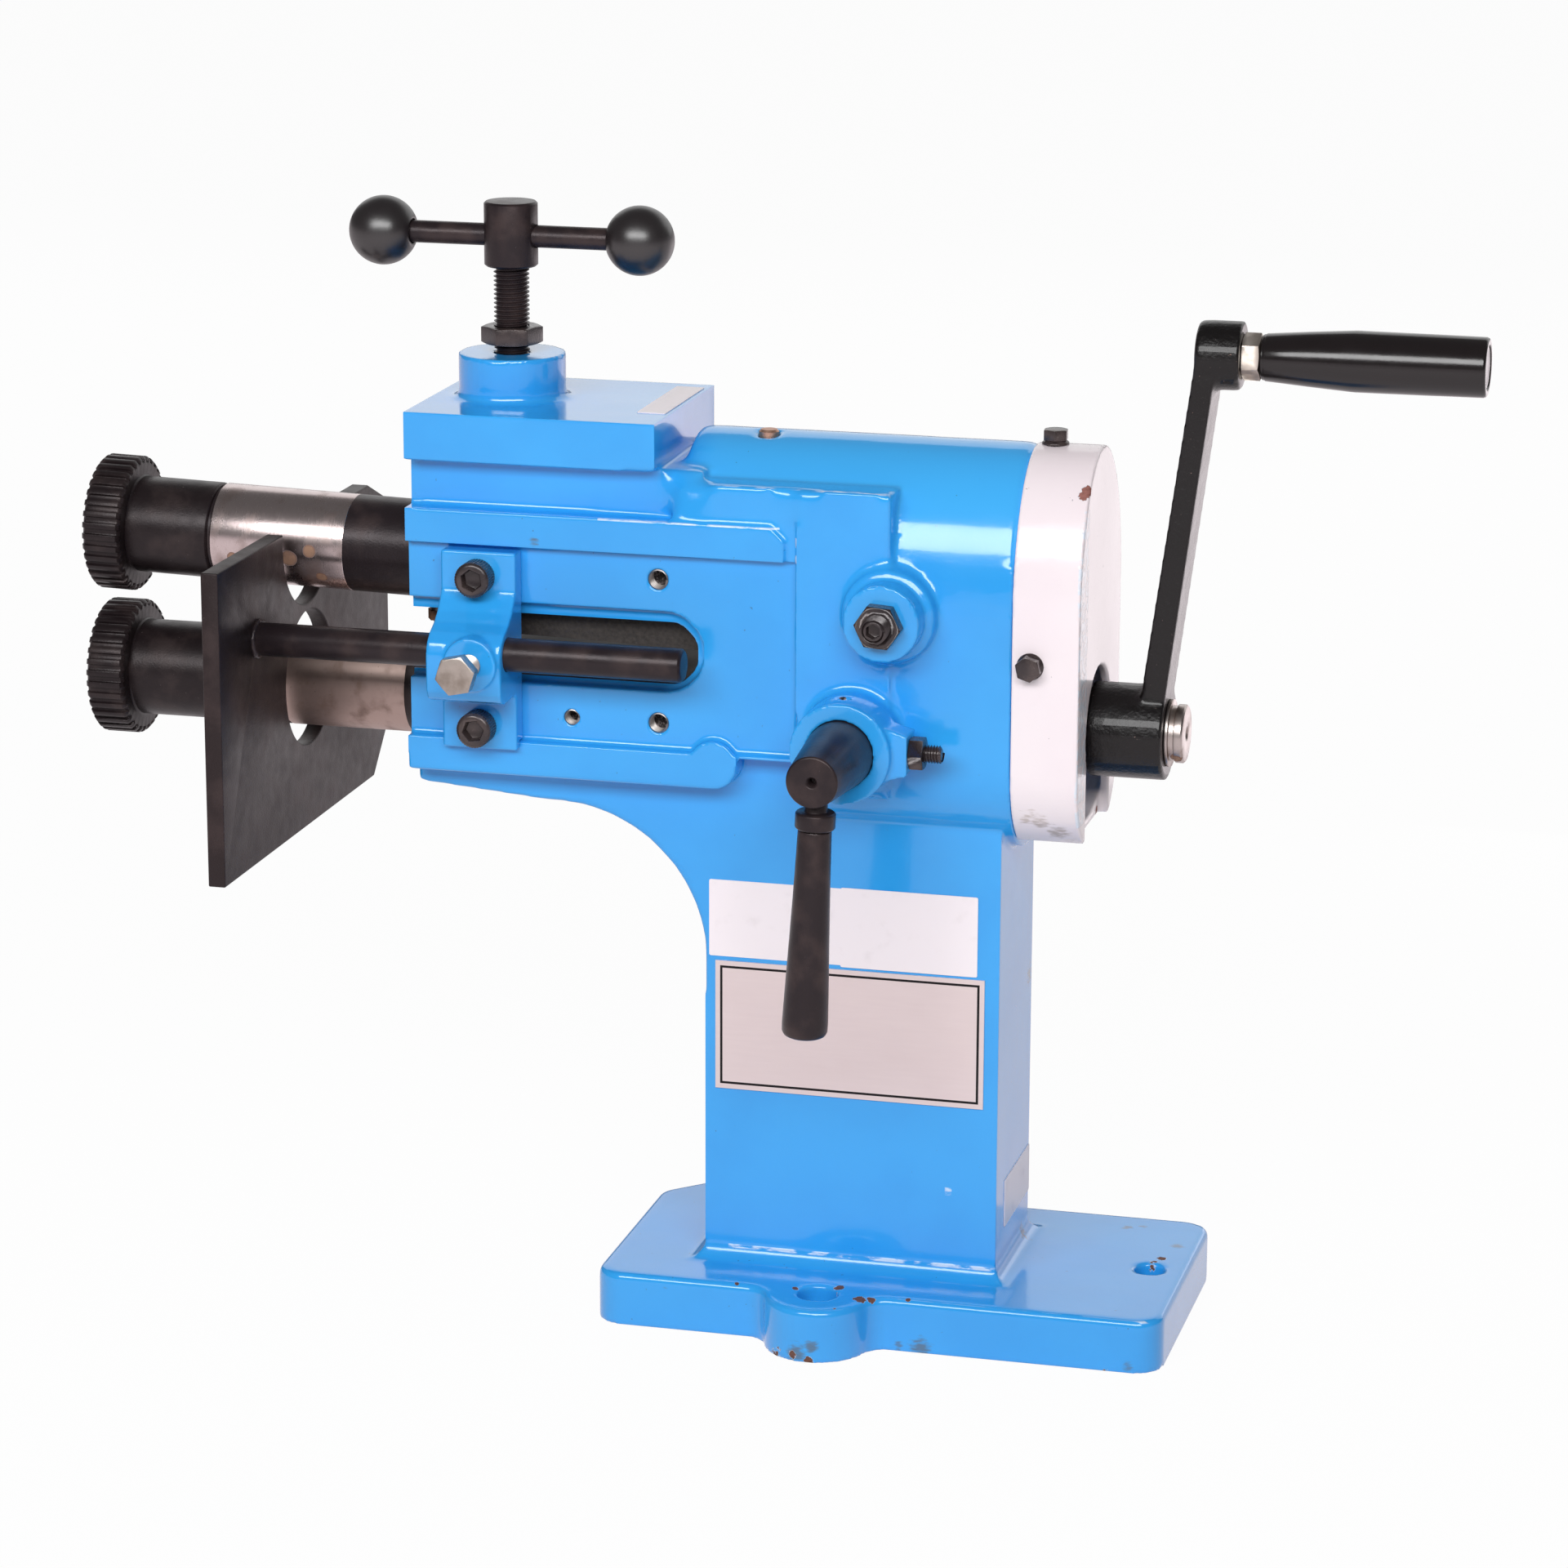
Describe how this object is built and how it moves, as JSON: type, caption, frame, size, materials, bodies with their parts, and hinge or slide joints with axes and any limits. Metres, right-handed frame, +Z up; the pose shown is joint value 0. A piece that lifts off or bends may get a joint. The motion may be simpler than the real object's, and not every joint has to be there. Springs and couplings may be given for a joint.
{
  "type": "bead roller",
  "caption": "Hand-cranked bench bead roller: geared parallel shafts with serrated rolls, clamp screw, depth gauge and shift lever on a cast frame.",
  "frame": {"origin": "underside of the base plate, midway between the front and rear ear holes", "axes": "+X along the shafts from the rolls to the crank, +Y from front to back, +Z up"},
  "size_m": [0.6327, 0.237, 0.4988],
  "materials": {
    "blue_enamel": "gloss enamel on cast iron",
    "white_enamel": "gloss enamel, chipped",
    "black_screws": "black oxide",
    "rusty_steel": "dull, rusty",
    "copper": "dull copper",
    "bronze": "plain bronze",
    "bare_plate": "satin",
    "machined_steel": "turned",
    "polished_steel": "ground, spotted with rust",
    "zinc_steel": "zinc plated",
    "black_steel": "black oxide, oiled",
    "black_rolls": "black oxide, oiled",
    "black_plate": "black scale",
    "black_knobs": "gloss",
    "black_grip": "satin gloss",
    "dark_casting": "rough, oiled",
    "black_casting": "black lacquer on a rough casting"
  },
  "bodies": {
    "frame": {"frame_casting": "blue_enamel", "gear_cover": "white_enamel", "cover_screws": "black_screws", "pivot_screws": "black_screws", "pivot_nuts": "black_screws", "oil_plug": "copper", "lower_front_bush": "bronze", "lower_rear_bush": "bronze", "gauge_bracket": "blue_enamel", "bracket_screws": "black_screws", "lever_set_screw": "black_screws", "lever_set_nut": "black_screws", "name_plate": "bare_plate", "spring_studs": "rusty_steel", "spring_nuts": "rusty_steel", "return_springs": "rusty_steel"},
    "pressure_foot": {"pressure_foot": "machined_steel"},
    "clamp_screw": {"clamp_screw": "black_steel", "screw_hub": "black_steel", "cross_bar": "black_steel", "ball_knobs": "black_knobs", "screw_lock_nut": "black_screws"},
    "swing": {"swing_arm": "dark_casting", "upper_front_bush": "bronze", "upper_rear_bush": "bronze"},
    "upper_shaft": {"upper_shaft": "black_steel", "upper_sleeve": "polished_steel", "upper_roll": "black_rolls", "upper_roll_nut": "black_steel", "upper_keys": "machined_steel", "upper_gear": "machined_steel", "upper_gear_clip": "machined_steel"},
    "shift_carriage": {"shift_collar": "machined_steel"},
    "lower_shaft": {"lower_shaft": "machined_steel", "lower_sleeve": "polished_steel", "lower_roll": "black_rolls", "lower_roll_nut": "black_steel", "lower_keys": "machined_steel", "lower_gear": "machined_steel", "collar_clips": "machined_steel", "crank_arm": "black_casting", "crank_washer": "polished_steel", "crank_screw": "polished_steel", "grip_spindle": "machined_steel", "grip_nut": "zinc_steel"},
    "grip": {"crank_grip": "black_grip", "grip_cap": "zinc_steel"},
    "shift_lever": {"eccentric_shaft": "black_steel", "lever_stem": "black_steel", "lever_grip": "black_steel"},
    "gauge": {"gauge_plate": "black_plate", "gauge_rod": "black_steel"},
    "gauge_bolt": {"gauge_clamp_bolt": "zinc_steel"}
  },
  "joints": [
    {"name": "foot_press", "type": "slide", "parent": "frame", "child": "pressure_foot", "axis": [0, 0, 1], "range_m": [-0.00257, 0.00327]},
    {"name": "screw_turn", "type": "hinge", "parent": "pressure_foot", "child": "clamp_screw", "pos_m": [-0.16, 0, 0.4833], "axis": [0, 0, 1], "range_deg": [-460, 585]},
    {"name": "arm_swing", "type": "hinge", "parent": "frame", "child": "swing", "pos_m": [0.026, 0, 0.3322], "axis": [0, 1, 0], "range_deg": [-0.8, 1.01], "deforming": ["return_springs"]},
    {"name": "upper_turn", "type": "hinge", "parent": "swing", "child": "upper_shaft", "pos_m": [0.026, 0, 0.3322], "axis": [0.9996, 0, -0.0288], "continuous": true},
    {"name": "shaft_shift", "type": "slide", "parent": "frame", "child": "shift_carriage", "axis": [1, 0, 0], "range_m": [-0.00225, 0.00225]},
    {"name": "crank_turn", "type": "hinge", "parent": "shift_carriage", "child": "lower_shaft", "pos_m": [0, 0, 0.2753], "axis": [1, 0, 0], "continuous": true},
    {"name": "grip_spin", "type": "hinge", "parent": "lower_shaft", "child": "grip", "pos_m": [0.2265, 0, 0.4445], "axis": [1, 0, 0], "continuous": true},
    {"name": "lever_turn", "type": "hinge", "parent": "frame", "child": "shift_lever", "pos_m": [0.01, -0.076, 0.2753], "axis": [0, -1, 0], "range_deg": [-40.1, 40.1]},
    {"name": "gauge_slide", "type": "slide", "parent": "frame", "child": "gauge", "axis": [1, 0, 0], "range_m": [-0.052, 0.058]},
    {"name": "gauge_bolt_turn", "type": "hinge", "parent": "frame", "child": "gauge_bolt", "pos_m": [-0.156, -0.095, 0.3055], "axis": [0, -1, 0], "range_deg": [0, 90]}
  ],
  "couplings": [
    {"joint": "foot_press", "follows": "screw_turn", "m_per_rad": 0.00031831},
    {"joint": "arm_swing", "follows": "screw_turn", "ratio": 0.0017113},
    {"joint": "upper_turn", "follows": "crank_turn", "ratio": -1},
    {"joint": "lever_turn", "follows": "shaft_shift", "rad_per_m": 310.31}
  ]
}
